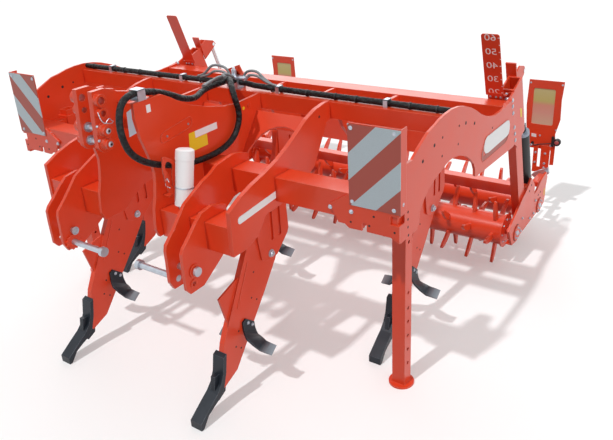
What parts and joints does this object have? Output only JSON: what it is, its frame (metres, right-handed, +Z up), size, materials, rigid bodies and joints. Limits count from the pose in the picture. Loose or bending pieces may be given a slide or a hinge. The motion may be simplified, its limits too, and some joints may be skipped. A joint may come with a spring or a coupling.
{
  "type": "subsoiler",
  "caption": "Mounted subsoiler: arched side plates, leading curved tines with chisel points and wings, and a double spiked roller on telescopic depth columns.",
  "frame": {"origin": "on the ground below the middle of the machine's outer box", "axes": "+X to the machine's left hand, -Y forward to the tractor, +Z up; ground at Z = 0"},
  "size_m": [3.014, 3.6106, 1.85],
  "materials": {
    "black_paint": "semi-gloss",
    "board_film": "reflective stripes",
    "chromed_rod": "polished",
    "hose_rubber": "textile sleeve",
    "red_paint": "satin",
    "wear_steel": "blued, worn bright at the tips",
    "white_plastic": "matt",
    "zinc": "zinc plated"
  },
  "bodies": {
    "main_frame": {"arch_beam": "red_paint", "arch_plates": "red_paint", "board_brackets": "red_paint", "chisel_points": "wear_steel", "cylinder_rods": "chromed_rod", "document_tube": "white_plastic", "front_beam": "red_paint", "front_board_left": "board_film", "front_board_right": "board_film", "front_cross_tube": "red_paint", "front_shank_carriers": "red_paint", "front_shanks": "red_paint", "headstock_box": "red_paint", "headstock_plates": "red_paint", "hitch_pins": "zinc", "hose_left": "hose_rubber", "hose_loop": "hose_rubber", "hose_right": "hose_rubber", "leg_sleeves": "red_paint", "lower_clevis_plates": "red_paint", "rear_shank_beam": "red_paint", "rear_shank_carriers": "red_paint", "rear_shanks": "red_paint", "rear_struts": "red_paint", "roller_support_beam": "red_paint", "scale_plates": "zinc", "side_plate_left": "red_paint", "side_plate_right": "red_paint", "sleeve_left": "red_paint", "sleeve_right": "red_paint", "top_link_plates": "red_paint", "valve_block": "zinc", "web_plates": "red_paint", "wing_plates": "wear_steel"},
    "roller_frame": {"cylinder_barrels": "black_paint", "rear_board_plates": "red_paint", "rear_boards": "board_film", "roller_cross_tube": "red_paint", "roller_side_plate_left": "red_paint", "roller_side_plate_right": "red_paint", "telescopic_columns": "red_paint"},
    "front_roller": {"front_roller": "red_paint"},
    "rear_roller": {"rear_roller": "red_paint"},
    "leg_left": {"leg_left": "red_paint"},
    "leg_right": {"leg_right": "red_paint"}
  },
  "joints": [
    {"name": "roller_frame_slide", "type": "slide", "parent": "main_frame", "child": "roller_frame", "axis": [0, -0.342, 0.9397], "range_m": [0, 0.4576]},
    {"name": "front_roller_spin", "type": "hinge", "parent": "roller_frame", "child": "front_roller", "pos_m": [0, 0.80526, 0.27], "axis": [1, 0, 0], "continuous": true},
    {"name": "rear_roller_spin", "type": "hinge", "parent": "roller_frame", "child": "rear_roller", "pos_m": [0, 1.36526, 0.27], "axis": [1, 0, 0], "continuous": true},
    {"name": "leg_left_slide", "type": "slide", "parent": "main_frame", "child": "leg_left", "axis": [0, 0, 1], "range_m": [0, 0.48]},
    {"name": "leg_right_slide", "type": "slide", "parent": "main_frame", "child": "leg_right", "axis": [0, 0, 1], "range_m": [0, 0.48]}
  ]
}
